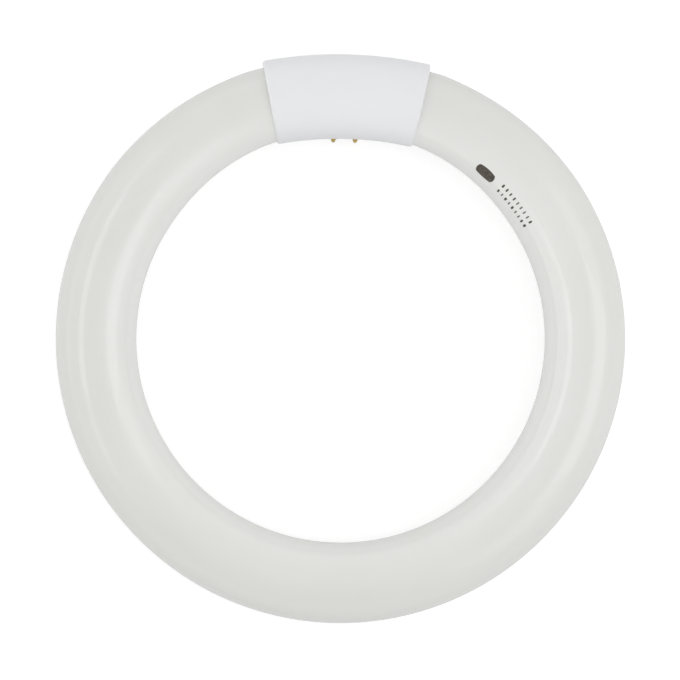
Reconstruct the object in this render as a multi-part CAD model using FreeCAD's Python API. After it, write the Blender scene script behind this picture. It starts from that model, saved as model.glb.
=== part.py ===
import FreeCAD, Part
import math
import os

# A circular fluorescent lamp: a coated glass tube bent into a ring, whose two sealed ends meet
# inside a moulded collar with four contact pins.
# Millimetres. The origin is the middle of the ring, +Z is the lamp's front, and the collar is
# towards +Y. Angles round the ring start at the middle of the collar and run towards +X.

# Glass tube
ring_radius = 88.0  # from the ring's axis to the middle of the tube
tube_radius = 14.5
neck_slimming = 0.9  # radius that the tube loses on its way into the collar
neck_showing = 3.2  # stretch of slim neck that shows at each mouth of the collar
taper_length = 61.5  # from the neck to the full tube, along the ring
taper_sections = 9

# Sealed ends of the tube
tube_end_gap = 22.0  # between the two ends, along the ring
seal_length = 6.0  # last stretch of each end, which stays straight
seal_shoulder = 4.0  # rounding round the end
flare_mouth_radius = 7.0
flare_floor_radius = 4.0
flare_depth = 9.0
exhaust_tip_radius = 1.5
exhaust_tip_length = 6.0

# Collar: moulded flatter than the ring, so that one mould serves larger rings too
collar_bend_radius = 135.0
collar_length = 55.0  # along its middle line
collar_wall = 0.85
collar_play = 0.1  # between the glass and the wall where they come nearest
crossing_inset = 6.0  # from each mouth to where the collar's middle line crosses the ring's
mouth_rounding = 1.0
lip_thickness = 1.2  # of the lip at each mouth that closes on the neck of the glass
lip_clearance = 0.05

# Seam between the two shells of the collar
seam_gap = 0.08
seam_groove_width = 0.3
seam_groove_depth = 0.12
lap_height = 1.0  # how far the rear shell's tongue stands into the front shell
lap_clearance = 0.1

# Contact pins and the pad that holds them
pin_slope_deg = 54.0  # the pins point inwards and back, this far from the plane of the ring
pin_spacing_along = 7.92
pin_spacing_across = 6.35
pin_radius = 1.175
pin_length = 6.6  # from the pad's face to the tip
pin_nose_length = 3.4
pin_tip_radius = 0.55  # where the nose turns into its rounded end
pin_tip_height = 0.25  # of the rounded end
pin_shoulder = 0.175  # step from the pin's body to the shank that passes through the pad
pin_shank_clearance = 0.05
pin_rim_width = 0.6  # the inner end is spread into a rim that holds the pin
pin_rim_thickness = 0.4
pin_floor = 1.2  # solid stretch at the tip, beyond the bore
pad_rise = 0.4  # of the pad's face beyond the collar's wall
pad_depth = 2.8
pad_margin = 2.0  # round the outside of the four pins
pad_corner = 2.0
pad_edge_rounding = 0.4

# Lead wires
wire_radius = 0.25
wire_bore_clearance = 0.15
wire_spread = 5.2  # between the two wires where they leave the glass
wire_straight = 2.0  # straight run past the end of the glass
wire_turn_depth = 3.0  # from the collar's middle line to the turn into the pin
wire_bend_radius = 2.0

origin = FreeCAD.Vector(0, 0, 0)
along_x = FreeCAD.Vector(1, 0, 0)
up = FreeCAD.Vector(0, 0, 1)

# Angles round the ring
neck_radius = tube_radius - neck_slimming
seal_angle = (tube_end_gap / 2 + seal_length) / ring_radius
taper_start = (collar_length / 2 + neck_showing) / ring_radius
taper_end = taper_start + taper_length / ring_radius

# The collar's middle line crosses the ring's a little inside each mouth
collar_half_angle = collar_length / 2 / collar_bend_radius
lip_angle = collar_half_angle - lip_thickness / collar_bend_radius
crossing_angle = collar_half_angle - crossing_inset / collar_bend_radius
crossing_x = collar_bend_radius * math.sin(crossing_angle)
crossing_y = math.sqrt(ring_radius**2 - crossing_x**2)
collar_centre = FreeCAD.Vector(0, crossing_y - collar_bend_radius * math.cos(crossing_angle), 0)
collar_middle = collar_centre + FreeCAD.Vector(0, collar_bend_radius, 0)


def outward(angle):
    return FreeCAD.Vector(math.sin(angle), math.cos(angle), 0)


def onward(angle):
    return FreeCAD.Vector(math.cos(angle), -math.sin(angle), 0)


# The collar's bore leaves room for glass that bends more than the collar and so lies askew in it
mouth_centre = collar_centre + outward(collar_half_angle) * collar_bend_radius
mouth_tilt = math.atan2(mouth_centre.x, mouth_centre.y) - collar_half_angle
mouth_offset = abs(mouth_centre.Length - ring_radius)
mouth_need = neck_radius / math.cos(mouth_tilt) + mouth_offset
shoulder_start = outward(seal_angle) * ring_radius - onward(seal_angle) * (seal_length - seal_shoulder)
shoulder_offset = abs((shoulder_start - collar_centre).Length - collar_bend_radius)
collar_bore_radius = max(mouth_need, neck_radius + shoulder_offset) + collar_play
collar_radius = collar_bore_radius + collar_wall

# Heights along the pins, from the collar's middle line
pad_face = collar_radius + pad_rise
pad_back = pad_face - pad_depth
pin_tip = pad_face + pin_length
pin_bore_floor = pin_tip - pin_floor
pin_shank_radius = pin_radius - pin_shoulder
pin_frame = FreeCAD.Placement(collar_middle, FreeCAD.Rotation(along_x, 90 + pin_slope_deg))

# The four pins: left or right along the collar, front or rear across the pad
pin_places = {}
for side_name, side in (("left", -1), ("right", 1)):
    for row_name, row in (("front", 1), ("rear", -1)):
        pin_places[side_name + "_" + row_name] = FreeCAD.Vector(
            side * pin_spacing_along / 2, row * pin_spacing_across / 2, 0
        )

# At the root of the +X end's straight stretch, with local Z out of the glass
seal_frame = FreeCAD.Placement(
    outward(seal_angle) * ring_radius, FreeCAD.Rotation(up, -onward(seal_angle))
)


def carried(shape, place):
    """The shape, carried from its own frame to its place on the lamp."""
    return shape.transformed(place.toMatrix(), True)


def bent_bar(centre, bend_radius, radius, start, end):
    """A round bar bent about a centre, from one angle to another."""
    circle = Part.Circle(centre + outward(start) * bend_radius, onward(start), radius)
    section = Part.Face(Part.Wire(circle.toShape()))
    return section.revolve(centre, -up, math.degrees(end - start))


def tube_taper():
    """From the neck to the full tube, level with both where it meets them."""
    sections = []
    for step in range(taper_sections):
        share = step / (taper_sections - 1)
        angle = taper_start + share * (taper_end - taper_start)
        radius = neck_radius + neck_slimming * (3 * share**2 - 2 * share**3)
        circle = Part.Circle(outward(angle) * ring_radius, onward(angle), radius)
        circle.XAxis = outward(angle)
        sections.append(Part.Wire(circle.toShape()))
    return Part.makeLoft(sections, True)


def sealed_end():
    """Straight end of the tube with its rounded shoulder."""
    end = Part.makeCylinder(neck_radius, seal_length)
    rim = [edge for edge in end.Edges if edge.BoundBox.ZMin > seal_length / 2]
    return carried(end.makeFillet(seal_shoulder, rim), seal_frame)


def flare_recess():
    """Funnel in the end of the glass, where the stem is sealed in, round the exhaust tip."""
    floor = FreeCAD.Vector(0, 0, seal_length - flare_depth)
    funnel = Part.makeCone(flare_floor_radius, flare_mouth_radius, flare_depth, floor)
    stalk_length = exhaust_tip_length - exhaust_tip_radius
    stalk = Part.makeCylinder(exhaust_tip_radius, stalk_length, floor)
    nib = Part.makeSphere(exhaust_tip_radius, floor + up * stalk_length)
    return carried(funnel.cut([stalk, nib]), seal_frame)


def glass_tube():
    neck = bent_bar(origin, ring_radius, neck_radius, seal_angle, taper_start)
    right_side = tube_taper().fuse([neck, sealed_end()]).cut(flare_recess())
    left_side = right_side.mirror(origin, along_x)
    body = bent_bar(origin, ring_radius, tube_radius, taper_end, 2 * math.pi - taper_end)
    return body.fuse([right_side, left_side])


def collar_bar(radius, start=-collar_half_angle, end=collar_half_angle):
    return bent_bar(collar_centre, collar_bend_radius, radius, start, end)


def seam_groove():
    """Shallow band round the outside, where the edges of both shells are set back."""
    band = collar_bar(collar_radius).cut(collar_bar(collar_radius - seam_groove_depth))
    middle = seam_gap / 2
    return band.common(slab(middle - seam_groove_width / 2, middle + seam_groove_width / 2))


def whole_collar():
    """Both shells as one hollow bar, with rounded mouths and a lip round the glass at each."""
    bar = collar_bar(collar_radius)
    mouths = [edge for edge in bar.Edges if edge.Closed]
    rounding = min(mouth_rounding, lip_thickness)
    bore = collar_bar(collar_bore_radius, -lip_angle, lip_angle)
    neck_hole = bent_bar(origin, ring_radius, neck_radius + lip_clearance, seal_angle, taper_end)
    holes = [bore, neck_hole, neck_hole.mirror(origin, along_x), seam_groove()]
    return bar.makeFillet(rounding, mouths).cut(holes)


def slab(bottom, top):
    """A block wider than the collar, between two heights."""
    reach = collar_length + 4 * collar_radius
    corner = FreeCAD.Vector(-reach / 2, collar_middle.y - reach / 2, bottom)
    return Part.makeBox(reach, reach, top - bottom, corner)


def collar_front_shell():
    """The plain half, its edge cut back inside for the other half's tongue."""
    half = whole_collar().common(slab(seam_gap, 2 * collar_radius))
    rebate = collar_bar(collar_bore_radius + collar_wall / 2 + lap_clearance / 2, -lip_angle, lip_angle)
    return half.cut(rebate.common(slab(0, lap_height + seam_gap)))


def pin_pad():
    """Block with a flat face and rounded corners."""
    half_x = pin_spacing_along / 2 + pin_radius + pad_margin
    half_y = pin_spacing_across / 2 + pin_radius + pad_margin
    block = Part.makeBox(2 * half_x, 2 * half_y, pad_depth, FreeCAD.Vector(-half_x, -half_y, pad_back))
    uprights = [edge for edge in block.Edges if edge.BoundBox.ZLength > pad_depth / 2]
    block = block.makeFillet(pad_corner, uprights)
    brim = [edge for edge in block.Edges if edge.BoundBox.ZMin > pad_face - pad_depth / 2]
    return carried(block.makeFillet(pad_edge_rounding, brim), pin_frame)


def pin_holes():
    radius = pin_shank_radius + pin_shank_clearance
    holes = []
    for place in pin_places.values():
        hole = Part.makeCylinder(radius, pad_depth, place + up * pad_back)
        holes.append(carried(hole, pin_frame))
    return holes


def collar_rear_shell():
    """The half with the pin pad and the tongue that the other half closes over."""
    half = whole_collar().common(slab(-2 * collar_radius, 0))
    reach = lip_angle - lap_clearance / collar_bend_radius
    tongue = collar_bar(collar_bore_radius + collar_wall / 2 - lap_clearance / 2, -reach, reach)
    tongue = tongue.cut(collar_bar(collar_bore_radius)).common(slab(-lap_height, lap_height))
    return half.fuse([tongue, pin_pad()]).cut(pin_holes())


def contact_pin(place):
    """Hollow pin: rim behind the pad, shank through it, body and rounded nose outside."""
    nose_start = pin_tip - pin_nose_length
    tip_start = pin_tip - pin_tip_height
    narrowing = pin_radius - pin_tip_radius
    curved_length = pin_nose_length - pin_tip_height
    nose_radius = (narrowing**2 + curved_length**2) / (2 * narrowing)
    half_turn = math.asin(curved_length / nose_radius) / 2
    nose_middle = FreeCAD.Vector(
        pin_radius - nose_radius * (1 - math.cos(half_turn)),
        0,
        nose_start + nose_radius * math.sin(half_turn),
    )
    end_radius = (pin_tip_radius**2 + pin_tip_height**2) / (2 * pin_tip_height)
    half_turn = math.asin(pin_tip_radius / end_radius) / 2
    end_middle = FreeCAD.Vector(
        end_radius * math.sin(half_turn), 0, pin_tip - end_radius * (1 - math.cos(half_turn))
    )
    bore_radius = wire_radius + wire_bore_clearance
    rim_radius = pin_shank_radius + pin_rim_width
    rim_back = pad_back - pin_rim_thickness
    outline = [
        (0, pin_tip),
        (0, pin_bore_floor),
        (bore_radius, pin_bore_floor),
        (bore_radius, rim_back),
        (rim_radius, rim_back),
        (rim_radius, pad_back),
        (pin_shank_radius, pad_back),
        (pin_shank_radius, pad_face),
        (pin_radius, pad_face),
        (pin_radius, nose_start),
    ]
    points = [FreeCAD.Vector(radius, 0, height) for radius, height in outline]
    turn = FreeCAD.Vector(pin_tip_radius, 0, tip_start)
    nose = Part.Arc(points[-1], nose_middle, turn).toShape()
    end = Part.Arc(turn, end_middle, points[0]).toShape()
    profile = Part.Wire(Part.makePolygon(points).Edges + [nose, end])
    pin = Part.Face(profile).revolve(origin, up, 360)
    return carried(pin.translated(place), pin_frame)


def bent_path(points, radius):
    """Straight runs joined by tangent arcs."""
    edges = []
    run_start = points[0]
    for before, corner, after in zip(points, points[1:], points[2:]):
        back = (before - corner).normalize()
        ahead = (after - corner).normalize()
        half_opening = back.getAngle(ahead) / 2
        cut_back = radius / math.tan(half_opening)
        arc_depth = radius / math.sin(half_opening) - radius
        arc_start = corner + back * cut_back
        arc_middle = corner + (back + ahead).normalize() * arc_depth
        arc_end = corner + ahead * cut_back
        edges.append(Part.LineSegment(run_start, arc_start).toShape())
        edges.append(Part.Arc(arc_start, arc_middle, arc_end).toShape())
        run_start = arc_end
    edges.append(Part.LineSegment(run_start, points[-1]).toShape())
    return Part.Wire(edges)


def lead_wire(place):
    """From the floor of the flare, past the end of the glass, to the bottom of the pin's bore."""
    lift = up * math.copysign(wire_spread / 2, place.y)
    root = seal_frame.multVec(up * (seal_length - flare_depth)) + lift
    leaves = seal_frame.multVec(up * (seal_length + wire_straight)) + lift
    root.x = math.copysign(root.x, place.x)
    leaves.x = math.copysign(leaves.x, place.x)
    turn = pin_frame.multVec(place + up * wire_turn_depth)
    end = pin_frame.multVec(place + up * pin_bore_floor)
    path = bent_path([root, leaves, turn, end], wire_bend_radius)
    section = Part.Wire(Part.Circle(root, leaves - root, wire_radius).toShape())
    return path.makePipeShell([section], True, False)


os.makedirs("parts", exist_ok=True)
glass_tube().exportStep("parts/glass_tube.step")
collar_front_shell().exportStep("parts/collar_front_shell.step")
collar_rear_shell().exportStep("parts/collar_rear_shell.step")
for pin_name, pin_place in pin_places.items():
    contact_pin(pin_place).exportStep("parts/contact_pin_" + pin_name + ".step")
    lead_wire(pin_place).exportStep("parts/lead_wire_" + pin_name + ".step")
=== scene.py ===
import math

import bmesh
import bpy
from mathutils import Matrix, Vector


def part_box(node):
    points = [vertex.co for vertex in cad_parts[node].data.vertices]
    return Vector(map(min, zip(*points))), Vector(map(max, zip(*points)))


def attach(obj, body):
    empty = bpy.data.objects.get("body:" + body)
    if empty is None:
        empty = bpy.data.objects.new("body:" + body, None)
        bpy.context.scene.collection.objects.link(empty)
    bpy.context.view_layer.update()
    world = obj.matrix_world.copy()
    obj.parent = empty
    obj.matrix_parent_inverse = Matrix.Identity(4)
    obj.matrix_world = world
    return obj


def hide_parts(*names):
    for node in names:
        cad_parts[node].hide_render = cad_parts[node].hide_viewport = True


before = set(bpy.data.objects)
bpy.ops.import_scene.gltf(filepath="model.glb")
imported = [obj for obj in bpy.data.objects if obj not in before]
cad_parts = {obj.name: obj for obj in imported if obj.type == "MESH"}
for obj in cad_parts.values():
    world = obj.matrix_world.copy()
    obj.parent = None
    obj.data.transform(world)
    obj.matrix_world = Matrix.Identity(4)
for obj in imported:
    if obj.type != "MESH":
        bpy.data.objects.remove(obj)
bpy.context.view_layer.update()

# Glass tube.
# A straight soda-lime tube, washed inside with white phosphor and sealed at both ends round a stem,
# then bent hot into a ring. It is slightly slimmer at its ends, which the collar closes over.

tube_low, tube_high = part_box("glass_tube")
tube_radius = tube_high.z
ring_radius = tube_high.x - tube_radius
neck_slimming = 0.0009
neck_radius = tube_radius - neck_slimming
taper_start = 0.0307  # stations run along the tube from the middle of the collar
taper_length = 0.0615
end_station = 0.011
straight_end = 0.006  # last stretch of each end, which isn't bent
shoulder_radius = 0.004
flare_mouth_radius = 0.007
flare_floor_radius = 0.004
flare_depth = 0.009
exhaust_tip_radius = 0.0015
exhaust_tip_length = 0.006
nib_steps = 6
shoulder_steps = 8
taper_steps = 36
body_step = math.radians(1.2)
tube_sides = 112
seam_tolerance = 1e-6

# The ground runs between these two colours with the clouds, and with painted light across the bend and
# towards the upper right
lighter_ground = (0.78, 0.784, 0.76)
darker_ground = (0.714, 0.7175, 0.69)
middle_thinness = 0.15
# Partly a thinner coating outside the bend, partly painted light that lifts the shaded inner flanks and
# darkens the outer ones
bend_thinning_and_painted_light = 0.6  # from the middle of the tube to the outside of the bend
cloud_thinning = 0.7
# Painted light: the ground is made lighter towards the upper right and darker towards the lower left
painted_light_slope = 1.4  # for each metre to the left, and for each metre down
cloud_scale = 38.0
powder_roughness = 0.5
cloud_roughness = 0.1
ripple_scale = 55.0
ripple_strength = 0.06
ripple_height = 0.0006
glass_roughness = 0.06
glass_ior = 1.5


class Socket:
    """A node's output, with arithmetic that adds Math nodes to its tree."""

    def __init__(self, graph, socket):
        self.graph = graph
        self.socket = socket

    def of(self, output):
        """Another output of the same node."""
        return Socket(self.graph, self.socket.node.outputs[output])

    def __add__(self, other):
        return self.graph.math("ADD", self, other)

    def __radd__(self, other):
        return self.graph.math("ADD", other, self)

    def __sub__(self, other):
        return self.graph.math("SUBTRACT", self, other)

    def __rsub__(self, other):
        return self.graph.math("SUBTRACT", other, self)

    def __mul__(self, other):
        return self.graph.math("MULTIPLY", self, other)

    def __rmul__(self, other):
        return self.graph.math("MULTIPLY", other, self)

    def __truediv__(self, other):
        return self.graph.math("DIVIDE", self, other)

    def __rtruediv__(self, other):
        return self.graph.math("DIVIDE", other, self)


class Graph:
    """A node tree of a shape, a finish or the room's light."""

    def __init__(self, tree):
        self.tree = tree

    def node(self, kind, settings=None, inputs=None, output=0):
        """Adds a node: its settings first, then the values or links of its inputs."""
        made = self.tree.nodes.new(kind)
        for name, value in (settings or {}).items():
            setattr(made, name, value)
        for key, value in (inputs or {}).items():
            if isinstance(value, Socket):
                self.tree.links.new(value.socket, made.inputs[key])
            else:
                made.inputs[key].default_value = value
        return Socket(self, made.outputs[output]) if len(made.outputs) else None

    def math(self, operation, *values):
        return self.node("ShaderNodeMath", {"operation": operation}, dict(enumerate(values)))


def vector(graph, x=0.0, y=0.0, z=0.0):
    return graph.node("ShaderNodeCombineXYZ", {}, {"X": x, "Y": y, "Z": z})


def axes_of(graph, place):
    """The X, Y and Z of a vector."""
    x = graph.node("ShaderNodeSeparateXYZ", {}, {0: place})
    return x, x.of("Y"), x.of("Z")


socket_kinds = {float: "NodeSocketFloat", int: "NodeSocketInt", bpy.types.Material: "NodeSocketMaterial"}


def shape_tree(name, lay_nodes, values):
    """A geometry tree with a named input for each value. lay_nodes adds the nodes that make the shape."""
    tree = bpy.data.node_groups.new(name, "GeometryNodeTree")
    tree.interface.new_socket("Outline", in_out="INPUT", socket_type="NodeSocketGeometry")
    for label, value in values.items():
        tree.interface.new_socket(label, in_out="INPUT", socket_type=socket_kinds[type(value)])
    tree.interface.new_socket("Shape", in_out="OUTPUT", socket_type="NodeSocketGeometry")
    graph = Graph(tree)
    first = graph.node("NodeGroupInput")
    lay_nodes(graph, {label: first.of(label) for label in ("Outline", *values)})
    return tree


def made_from_outline(name, points, lay_nodes, values):
    """Runs a shape tree on an outline of (x, y) points and keeps the result as a plain mesh."""
    curve = bpy.data.curves.new(name + "_outline", "CURVE")
    curve.dimensions = "3D"
    spline = curve.splines.new("POLY")
    spline.points.add(len(points) - 1)
    for point, (x, y) in zip(spline.points, points):
        point.co = (x, y, 0.0, 1.0)
    source = bpy.data.objects.new(name + "_outline", curve)
    bpy.context.scene.collection.objects.link(source)
    modifier = source.modifiers.new("shape", "NODES")
    modifier.node_group = shape_tree(name + "_shape", lay_nodes, values)
    for item in modifier.node_group.interface.items_tree:
        if item.name in values:
            modifier[item.identifier] = values[item.name]
    depsgraph = bpy.context.evaluated_depsgraph_get()
    mesh = bpy.data.meshes.new_from_object(source.evaluated_get(depsgraph))
    mesh.name = name
    bpy.data.objects.remove(source)
    built = bmesh.new()
    built.from_mesh(mesh)
    bmesh.ops.recalc_face_normals(built, faces=built.faces)
    built.to_mesh(mesh)
    built.free()
    mesh.polygons.foreach_set("use_smooth", [True] * len(mesh.polygons))
    piece = bpy.data.objects.new(name, mesh)
    bpy.context.scene.collection.objects.link(piece)
    return piece


def outline_grid(graph, outline, sides):
    """A grid with a row for each point of the outline and a column for each side: returns the grid,
    the outline's (x, y) at each row and the angle of each column."""
    points = graph.node("GeometryNodeAttributeDomainSize", {"component": "CURVE"}, {"Geometry": outline})
    columns = sides + 1.0
    grid = graph.node("GeometryNodeMeshGrid", {}, {"Vertices X": points, "Vertices Y": columns})
    index = graph.node("GeometryNodeInputIndex")
    row = graph.math("FLOOR", (index + 0.5) / columns)
    place = graph.node(
        "GeometryNodeSampleIndex",
        {"data_type": "FLOAT_VECTOR", "domain": "POINT"},
        {"Geometry": outline, "Value": graph.node("GeometryNodeInputPosition"), "Index": row},
    )
    x, y, _ = axes_of(graph, place)
    return grid, x, y, (index - row * columns) * (2 * math.pi) / sides


def close_shape(graph, geometry, finish):
    """Closes the seams and ends of a shape, and gives it its finish."""
    closed = graph.node(
        "GeometryNodeMergeByDistance", {}, {"Geometry": geometry, "Distance": seam_tolerance}
    )
    plain = graph.node("GeometryNodeRealizeInstances", {}, {"Geometry": closed})
    coated = graph.node("GeometryNodeSetMaterial", {}, {"Geometry": plain, "Material": finish})
    graph.node("NodeGroupOutput", {}, {"Shape": coated})


def bent_tube(graph, given):
    """Turns the outline into a tube and bends that into a ring, its ends left straight."""
    bend = given["Ring Radius"]
    bend_start = given["Straight From"]
    grid, station, radius, turn = outline_grid(graph, given["Outline"], given["Sides"])
    bend_end = bend * (2 * math.pi) - bend_start
    bent = graph.math("MINIMUM", graph.math("MAXIMUM", station, bend_start), bend_end)
    outward_x = graph.math("SINE", bent / bend)
    outward_y = graph.math("COSINE", bent / bend)
    reach = bend + radius * graph.math("COSINE", turn)
    past_bend = station - bent
    place = vector(
        graph,
        outward_x * reach + outward_y * past_bend,
        outward_y * reach - outward_x * past_bend,
        radius * graph.math("SINE", turn),
    )
    tube = graph.node("GeometryNodeSetPosition", {}, {"Geometry": grid, "Position": place})
    close_shape(graph, tube, given["Finish"])


def corner_arc(centre, radius, steps):
    """A quarter turn from pointing back along the tube to pointing away from its axis."""
    turns = [math.pi - math.pi / 2 * step / steps for step in range(steps + 1)]
    return [(centre[0] + radius * math.cos(a), centre[1] + radius * math.sin(a)) for a in turns]


def sealed_end_outline():
    """From the exhaust tip on the axis, down the flare and round the shoulder to the neck."""
    floor_station = end_station + flare_depth
    nib_station = floor_station - exhaust_tip_length + exhaust_tip_radius
    shoulder = (end_station + shoulder_radius, neck_radius - shoulder_radius)
    return [
        *corner_arc((nib_station, 0.0), exhaust_tip_radius, nib_steps),
        (floor_station, exhaust_tip_radius),
        (floor_station, flare_floor_radius),
        (end_station, flare_mouth_radius),
        *corner_arc(shoulder, shoulder_radius, shoulder_steps),
    ]


def tube_outline():
    """Half outline of the straight tube, from one end to the other, as (station, radius)."""
    half = sealed_end_outline()
    for step in range(taper_steps + 1):
        share = step / taper_steps
        radius = neck_radius + neck_slimming * (3 * share**2 - 2 * share**3)
        half.append((taper_start + taper_length * share, radius))
    taper_end = half[-1][0]
    middle = math.pi * ring_radius
    steps = math.ceil((middle - taper_end) / (body_step * ring_radius))
    stretch = (middle - taper_end) / steps
    half += [(taper_end + stretch * (step + 1), tube_radius) for step in range(steps)]
    return half + [(2 * middle - station, radius) for station, radius in reversed(half[:-1])]


def new_finish(name):
    """An empty material and its graph."""
    finish = bpy.data.materials.new(name)
    finish.use_nodes = True
    finish.node_tree.nodes.clear()
    return finish, Graph(finish.node_tree)


def close_finish(graph, inputs):
    """Ends a finish in one surface shader."""
    surface = graph.node("ShaderNodeBsdfPrincipled", {}, inputs)
    graph.node("ShaderNodeOutputMaterial", {}, {"Surface": surface})


def own_coords(graph):
    """The coordinates of the piece itself."""
    return graph.node("ShaderNodeTexCoord", {}, {}, "Object")


def mix_colours(graph, factor, first, second):
    ends = {"Factor": factor, "A": (*first, 1.0), "B": (*second, 1.0)}
    return graph.node("ShaderNodeMix", {"data_type": "RGBA"}, ends, "Result")


def noise(graph, coords, scale, detail=2.0, roughness=0.5):
    inputs = {"Vector": coords, "Scale": scale, "Detail": detail, "Roughness": roughness}
    return graph.node("ShaderNodeTexNoise", {"noise_dimensions": "3D"}, inputs)


def bump(graph, height, strength, distance):
    inputs = {"Strength": strength, "Distance": distance, "Height": height}
    return graph.node("ShaderNodeBump", {}, inputs)


def phosphor_finish():
    """White powder seen through clear glass: a matt ground under a hard gloss that fades at a glancing
    view. The ground is lighter inside the bend, partly a denser coating there and partly painted light on
    the shaded inner flanks, and lighter towards the ring's upper right as painted light, with faint
    clouds left by the wash, and drawn glass has a slight ripple."""
    finish, graph = new_finish("coated_glass_finish")
    coords = own_coords(graph)
    x, y, _ = axes_of(graph, coords)
    outside = (graph.math("SQRT", x * x + y * y) - ring_radius) / tube_radius
    clouds = noise(graph, coords, cloud_scale, detail=3.0, roughness=0.55)
    # Painted light: lighter towards the upper right, darker towards the lower left
    painted_light_drift = (x + y) * painted_light_slope
    # Coating and painted light together: the clouds are the coating's own, the shift across the bend is
    # partly painted light, and the slope to the upper right is painted light
    thinness_and_painted_light = middle_thinness + outside * bend_thinning_and_painted_light + clouds * cloud_thinning - painted_light_drift
    ripple = noise(graph, coords, ripple_scale, detail=1.0)
    glance = graph.node("ShaderNodeLayerWeight", {}, {"Blend": 0.5}, "Facing")
    close_finish(
        graph,
        {
            "Base Color": mix_colours(graph, thinness_and_painted_light, lighter_ground, darker_ground),
            "Roughness": powder_roughness + clouds * cloud_roughness,
            "Specular IOR Level": 0.0,
            "Coat Weight": 1.0 - glance * glance * glance * glance,
            "Coat Roughness": glass_roughness,
            "Coat IOR": glass_ior,
            "Normal": bump(graph, ripple, ripple_strength, ripple_height),
        },
    )
    return finish


tube = made_from_outline(
    "coated_tube",
    tube_outline(),
    bent_tube,
    {
        "Ring Radius": ring_radius,
        "Straight From": end_station + straight_end,
        "Sides": tube_sides,
        "Finish": phosphor_finish(),
    },
)
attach(tube, "root")
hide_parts("glass_tube")

# Ink stamp.
# A plain field and two rows of strokes in fired brown ink, stamped on the inner flank of the tube
# beside the collar. The ink is a thin film, a little uneven where the stamp pressed less.

ink_film = 0.00003
ink_sunk = 0.00001  # of the film into the glass
stamp_tilt = math.radians(-43.0)  # from the front of the tube towards the ring's middle
stamp_across = stamp_tilt * tube_radius
rows_start = math.radians(45.6) * ring_radius  # a station, as on the tube
rows_end = math.radians(57.2) * ring_radius
row_gap = 0.0032
stroke_count = 9
stroke_pitch = (rows_end - rows_start) / (stroke_count - 1)
stroke_height = 0.0016
shortest_stroke = 0.2  # of the pitch
longest_stroke = 0.5
stroke_seed = 4
field_station = math.radians(39.9) * ring_radius
field_length = 0.0088
field_height = 0.0046
corner_softness = 0.6
mark_rows = 9

full_ink = (0.022, 0.016, 0.009)
worn_ink = (0.17, 0.146, 0.116)
press_scale = 1300.0
press_contrast = 1.6
press_offset = 0.5
ink_roughness = 0.45
worn_roughness = 0.25


def soft_cornered_mark(graph, given):
    """A square of side 1, divided finely enough to bend, with its corners drawn in."""
    rows = given["Mark Rows"]
    cell = graph.node(
        "GeometryNodeMeshGrid", {}, {"Size X": 2.0, "Size Y": 2.0, "Vertices X": rows, "Vertices Y": rows}
    )
    x, y, _ = axes_of(graph, graph.node("GeometryNodeInputPosition"))
    softness = given["Corner Softness"]
    drawn_x = x * graph.math("SQRT", 1.0 - y * y * softness / 2.0) / 2.0
    drawn_y = y * graph.math("SQRT", 1.0 - x * x * softness / 2.0) / 2.0
    place = vector(graph, drawn_x, drawn_y)
    return graph.node("GeometryNodeSetPosition", {}, {"Geometry": cell, "Position": place})


def moved(graph, geometry, place, size=(1.0, 1.0, 1.0)):
    inputs = {"Geometry": geometry, "Translation": place, "Scale": size}
    return graph.node("GeometryNodeTransform", {}, inputs)


def joined(graph, *geometries):
    both = graph.node("GeometryNodeJoinGeometry")
    for geometry in geometries:
        graph.tree.links.new(geometry.socket, both.socket.node.inputs[0])
    return both


def flat_stamp(graph, given):
    """Two rows of strokes of uneven length along the outline, and a field before them."""
    row = graph.node(
        "GeometryNodeResampleCurve", {}, {"Curve": given["Outline"], "Count": given["Strokes"]}
    )
    aside = given["Row Gap"] / 2.0
    upper = moved(graph, row, vector(graph, y=aside))
    lower = moved(graph, row, vector(graph, y=0.0 - aside))
    length = graph.node(
        "FunctionNodeRandomValue",
        {"data_type": "FLOAT"},
        {"Min": given["Shortest Stroke"], "Max": given["Longest Stroke"], "Seed": given["Seed"]},
        1,
    )
    mark = soft_cornered_mark(graph, given)
    size = vector(graph, length, given["Stroke Height"], 1.0)
    strokes = graph.node(
        "GeometryNodeInstanceOnPoints",
        {},
        {"Points": joined(graph, upper, lower), "Instance": mark, "Scale": size},
    )
    field_place = vector(graph, given["Field Station"], given["Field Across"])
    field_size = vector(graph, given["Field Length"], given["Field Height"], 1.0)
    field = moved(graph, mark, field_place, field_size)
    return joined(graph, graph.node("GeometryNodeRealizeInstances", {}, {"Geometry": strokes}), field)


def wrapped_stamp(graph, given):
    """Wraps the flat stamp on the tapering tube and thickens it to a closed film."""
    station, across, _ = axes_of(graph, graph.node("GeometryNodeInputPosition"))
    radius = graph.node(
        "ShaderNodeMapRange",
        {"interpolation_type": "SMOOTHSTEP"},
        {
            "Value": station,
            "From Min": given["Taper Start"],
            "From Max": given["Taper End"],
            "To Min": given["Neck Radius"],
            "To Max": given["Tube Radius"],
        },
    )
    angle = station / given["Ring Radius"]
    tilt = across / given["Tube Radius"]
    underside = radius - given["Sunk"]
    reach = given["Ring Radius"] + underside * graph.math("SINE", tilt)
    place = vector(
        graph,
        graph.math("SINE", angle) * reach,
        graph.math("COSINE", angle) * reach,
        underside * graph.math("COSINE", tilt),
    )
    flat = flat_stamp(graph, given)
    under = graph.node("GeometryNodeSetPosition", {}, {"Geometry": flat, "Position": place})
    film = graph.node(
        "GeometryNodeExtrudeMesh",
        {"mode": "FACES"},
        {"Mesh": under, "Offset Scale": given["Film"], "Individual": False},
    )
    sealed = joined(graph, film, graph.node("GeometryNodeFlipFaces", {}, {"Mesh": under}))
    close_shape(graph, sealed, given["Finish"])


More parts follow.
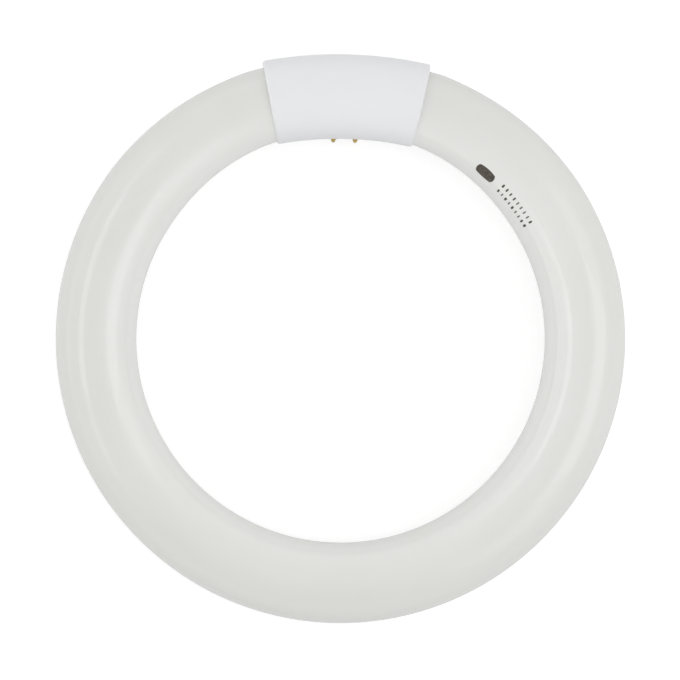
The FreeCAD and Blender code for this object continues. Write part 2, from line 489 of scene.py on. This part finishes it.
def ink_finish():
    """Matt brown ink, thinner and greyer in small patches."""
    finish, graph = new_finish("fired_ink_finish")
    press = noise(graph, own_coords(graph), press_scale, detail=4.0, roughness=0.6)
    worn = press * press_contrast - press_offset
    close_finish(
        graph,
        {
            "Base Color": mix_colours(graph, worn, full_ink, worn_ink),
            "Roughness": ink_roughness + press * worn_roughness,
        },
    )
    return finish


stamp = made_from_outline(
    "ink_stamp",
    [(rows_start, stamp_across), (rows_end, stamp_across)],
    wrapped_stamp,
    {
        "Ring Radius": ring_radius,
        "Neck Radius": neck_radius,
        "Tube Radius": tube_radius,
        "Taper Start": taper_start,
        "Taper End": taper_start + taper_length,
        "Row Gap": row_gap,
        "Strokes": stroke_count,
        "Stroke Height": stroke_height,
        "Shortest Stroke": shortest_stroke * stroke_pitch,
        "Longest Stroke": longest_stroke * stroke_pitch,
        "Seed": stroke_seed,
        "Field Station": field_station,
        "Field Across": stamp_across,
        "Field Length": field_length,
        "Field Height": field_height,
        "Corner Softness": corner_softness,
        "Mark Rows": mark_rows,
        "Film": ink_film,
        "Sunk": ink_sunk,
        "Finish": ink_finish(),
    },
)
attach(stamp, "root")

# Collar.
# Two half shells moulded in bluish-white plastic, closed over the tube's ends along the plane of the
# ring. Their faces have the fine spark-eroded grain of the mould and a satin shine.

collar_shade = (0.793, 0.798, 0.818)
collar_white = (0.82, 0.822, 0.838)
flow_scale = 60.0
grain_scale = 5200.0
grain_strength = 0.25
grain_height = 0.00006
collar_roughness = 0.4
grain_roughness = 0.12
plastic_ior = 1.5


def moulded_finish():
    """White plastic, faintly uneven where it flowed in the mould, with the mould's grain."""
    finish, graph = new_finish("collar_plastic_finish")
    coords = own_coords(graph)
    flow = noise(graph, coords, flow_scale)
    grain = noise(graph, coords, grain_scale, roughness=0.6)
    close_finish(
        graph,
        {
            "Base Color": mix_colours(graph, flow, collar_shade, collar_white),
            "Roughness": collar_roughness + grain * grain_roughness,
            "IOR": plastic_ior,
            "Normal": bump(graph, grain, grain_strength, grain_height),
        },
    )
    return finish


def dress(node_name, finish):
    """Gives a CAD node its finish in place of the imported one."""
    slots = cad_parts[node_name].data.materials
    slots.clear()
    slots.append(finish)


collar_finish = moulded_finish()
dress("collar_front_shell", collar_finish)
dress("collar_rear_shell", collar_finish)

# Contact pins.
# Four hollow brass pins, turned with a rounded nose. Each passes through the pad of the rear shell,
# and a rim spread behind the pad holds it there.

pin_names = [side + "_" + row for side in ("left", "right") for row in ("front", "rear")]


def metal_finish(name, scale, detail, colours, smoothest, unevenness):
    """Bare metal, duller and darker in small patches."""
    finish, graph = new_finish(name)
    patches = noise(graph, own_coords(graph), scale, detail)
    close_finish(
        graph,
        {
            "Base Color": mix_colours(graph, patches, *colours),
            "Metallic": 1.0,
            "Roughness": smoothest + patches * unevenness,
        },
    )
    return finish


brass = metal_finish(
    "pin_brass_finish",
    scale=900.0,
    detail=3.0,
    colours=((0.45, 0.325, 0.085), (0.3, 0.205, 0.045)),
    smoothest=0.22,
    unevenness=0.16,
)
for pin_name in pin_names:
    dress("contact_pin_" + pin_name, brass)

# Lead wires.
# Two thin drawn wires from the stem in each end of the glass. They run inside the collar, each into
# the bore of its own pin, where they are soldered.

drawn_wire = metal_finish(
    "lead_wire_finish",
    scale=2400.0,
    detail=2.0,
    colours=((0.62, 0.58, 0.53), (0.5, 0.46, 0.42)),
    smoothest=0.3,
    unevenness=0.15,
)
for pin_name in pin_names:
    dress("lead_wire_" + pin_name, drawn_wire)

# Floor.
# A plain white sheet that the lamp lies on. It touches the rear pins and the far side of the ring,
# so it slopes a little against the ring's own plane.

pin_low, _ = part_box("contact_pin_right_rear")
near_touch = Vector((0.0, pin_low.y, pin_low.z))
far_touch = Vector((0.0, -ring_radius, tube_low.z))
floor_slope = math.atan2(far_touch.z - near_touch.z, near_touch.y - far_touch.y)
floor_size = 6.0
floor_grey = 0.5
background_fill = 0.66


def white_sheet_finish():
    """Paper that keeps the shadow. What the camera and reflections see of it is filled up to white."""
    finish, graph = new_finish("white_sheet")
    path = graph.node("ShaderNodeLightPath")
    seen = path.of("Is Camera Ray")
    for ray in ("Is Glossy Ray", "Is Transmission Ray"):
        seen = graph.math("MAXIMUM", seen, path.of(ray))
    paper = graph.node("ShaderNodeBsdfDiffuse", {}, {"Color": (floor_grey, floor_grey, floor_grey, 1.0)})
    fill = graph.node("ShaderNodeEmission", {}, {"Strength": seen * background_fill})
    both = graph.node("ShaderNodeAddShader", {}, {0: paper, 1: fill})
    graph.node("ShaderNodeOutputMaterial", {}, {"Surface": both})
    return finish


floor_mesh = bpy.data.meshes.new("floor")
half_floor = floor_size / 2
floor_corners = [(x * half_floor, y * half_floor, 0) for x, y in ((-1, -1), (1, -1), (1, 1), (-1, 1))]
lay = Matrix.Translation(far_touch) @ Matrix.Rotation(-floor_slope, 4, "X")
floor_mesh.from_pydata([lay @ Vector(corner) for corner in floor_corners], [], [(0, 1, 2, 3)])
floor_mesh.materials.append(white_sheet_finish())
floor = bpy.data.objects.new("floor", floor_mesh)
bpy.context.scene.collection.objects.link(floor)

# Light.
# A bright room, with a softbox at each side of the ring that draws the long highlights, and a round
# fill overhead that reflections don't show. Each box has a bright core in a wider, dimmer skirt.

room_low = 1.41  # at the horizon
room_top = 0.285
room_top_height = 0.8  # of the unit sphere, where the room stops growing darker
room_left = 0.3  # more from the left at the horizon than from the middle
room_back = 0.07
room_sides = 0.08  # more from both sides than from the front and back
box_reach = 0.95
box_height = 1.0
box_swing = math.radians(-9.0)  # of both boxes about the ring's axis
layer_step = 0.01  # share by which each layer of a box is farther away than the one before it

# Width, length and brightness of each layer
left_layers = ((0.38, 0.8, 0.7), (0.38, 1.6, 0.5), (0.38, 2.4, 0.25), (1.3, 2.0, 0.26))
right_layers = ((0.8, 0.8, 0.78), (0.8, 1.6, 0.3), (0.8, 2.4, 0.29), (1.5, 2.0, 0.38))

fill_height = 0.75
fill_size = 0.5
fill_brightness = 1.184


def light_room():
    """The room as seen from the ring: bright at the horizon, darker overhead, brightest at the left."""
    world = bpy.data.worlds.new("studio")
    world.use_nodes = True
    world.node_tree.nodes.clear()
    graph = Graph(world.node_tree)
    x, y, z = axes_of(graph, graph.node("ShaderNodeTexCoord", {}, {}, "Generated"))
    rise = graph.math("MINIMUM", graph.math("MAXIMUM", z / room_top_height, 0.0), 1.0)
    horizon = room_low + y * room_back + x * (x * room_sides - room_left)
    room = graph.node("ShaderNodeBackground", {}, {"Color": horizon * (1.0 - rise) + rise * room_top})
    graph.node("ShaderNodeOutputWorld", {}, {"Surface": room})
    bpy.context.scene.world = world


def hang_lamp(name, shape, size, brightness, place, angles):
    """An area lamp that faces down until it is turned. Its power follows from its brightness and area."""
    lamp = bpy.data.lights.new(name, "AREA")
    lamp.shape = shape
    lamp.size, lamp.size_y = size
    area = size[0] * size[1] * (math.pi / 4 if shape == "DISK" else 1.0)
    lamp.energy = brightness * math.pi * area
    holder = bpy.data.objects.new(name, lamp)
    holder.location = place
    holder.rotation_euler = angles
    bpy.context.scene.collection.objects.link(holder)
    return holder


def hang_softbox(name, side, layers):
    """A tall softbox beside the ring, turned to face it, made of lamps one behind another."""
    angles = (0.0, side * math.atan2(box_reach, box_height), box_swing)
    place = Matrix.Rotation(box_swing, 3, "Z") @ Vector((side * box_reach, 0.0, box_height))
    for number, (width, length, brightness) in enumerate(layers):
        layer_name = name + "_" + str(number)
        layer_place = place * (1.0 + layer_step * number)
        hang_lamp(layer_name, "RECTANGLE", (width, length), brightness, layer_place, angles)


light_room()
hang_softbox("left_softbox", -1, left_layers)
hang_softbox("right_softbox", 1, right_layers)
overhead_place = (0.0, 0.0, fill_height)
fill_shape = (fill_size, fill_size)
unturned = (0.0, 0.0, 0.0)
overhead = hang_lamp("overhead", "DISK", fill_shape, fill_brightness, overhead_place, unturned)
overhead.visible_glossy = False

# Camera.
# High above the ring with a long lens, looking almost straight down at its front. The collar is at
# the top of the picture, which is leaned and rolled a little against the ring.

camera_distance = 1.5
sensor_width = 36.0
picture_width = 0.2448  # of the ring's plane, seen across the whole picture
picture_centre = Vector((-0.00025, -0.00058, 0.0))
picture_roll = math.radians(1.2)
camera_lean = math.radians(-1.0)

camera_data = bpy.data.cameras.new("camera")
camera_data.sensor_width = sensor_width
camera_data.lens = sensor_width * camera_distance / picture_width
camera = bpy.data.objects.new("camera", camera_data)
aim = Matrix.Rotation(camera_lean, 4, "Y") @ Matrix.Rotation(picture_roll, 4, "Z")
stand_off = Matrix.Translation((0.0, 0.0, camera_distance))
camera.matrix_world = Matrix.Translation(picture_centre) @ aim @ stand_off
bpy.context.scene.collection.objects.link(camera)
bpy.context.scene.camera = camera
bpy.context.scene.view_settings.view_transform = "Standard"
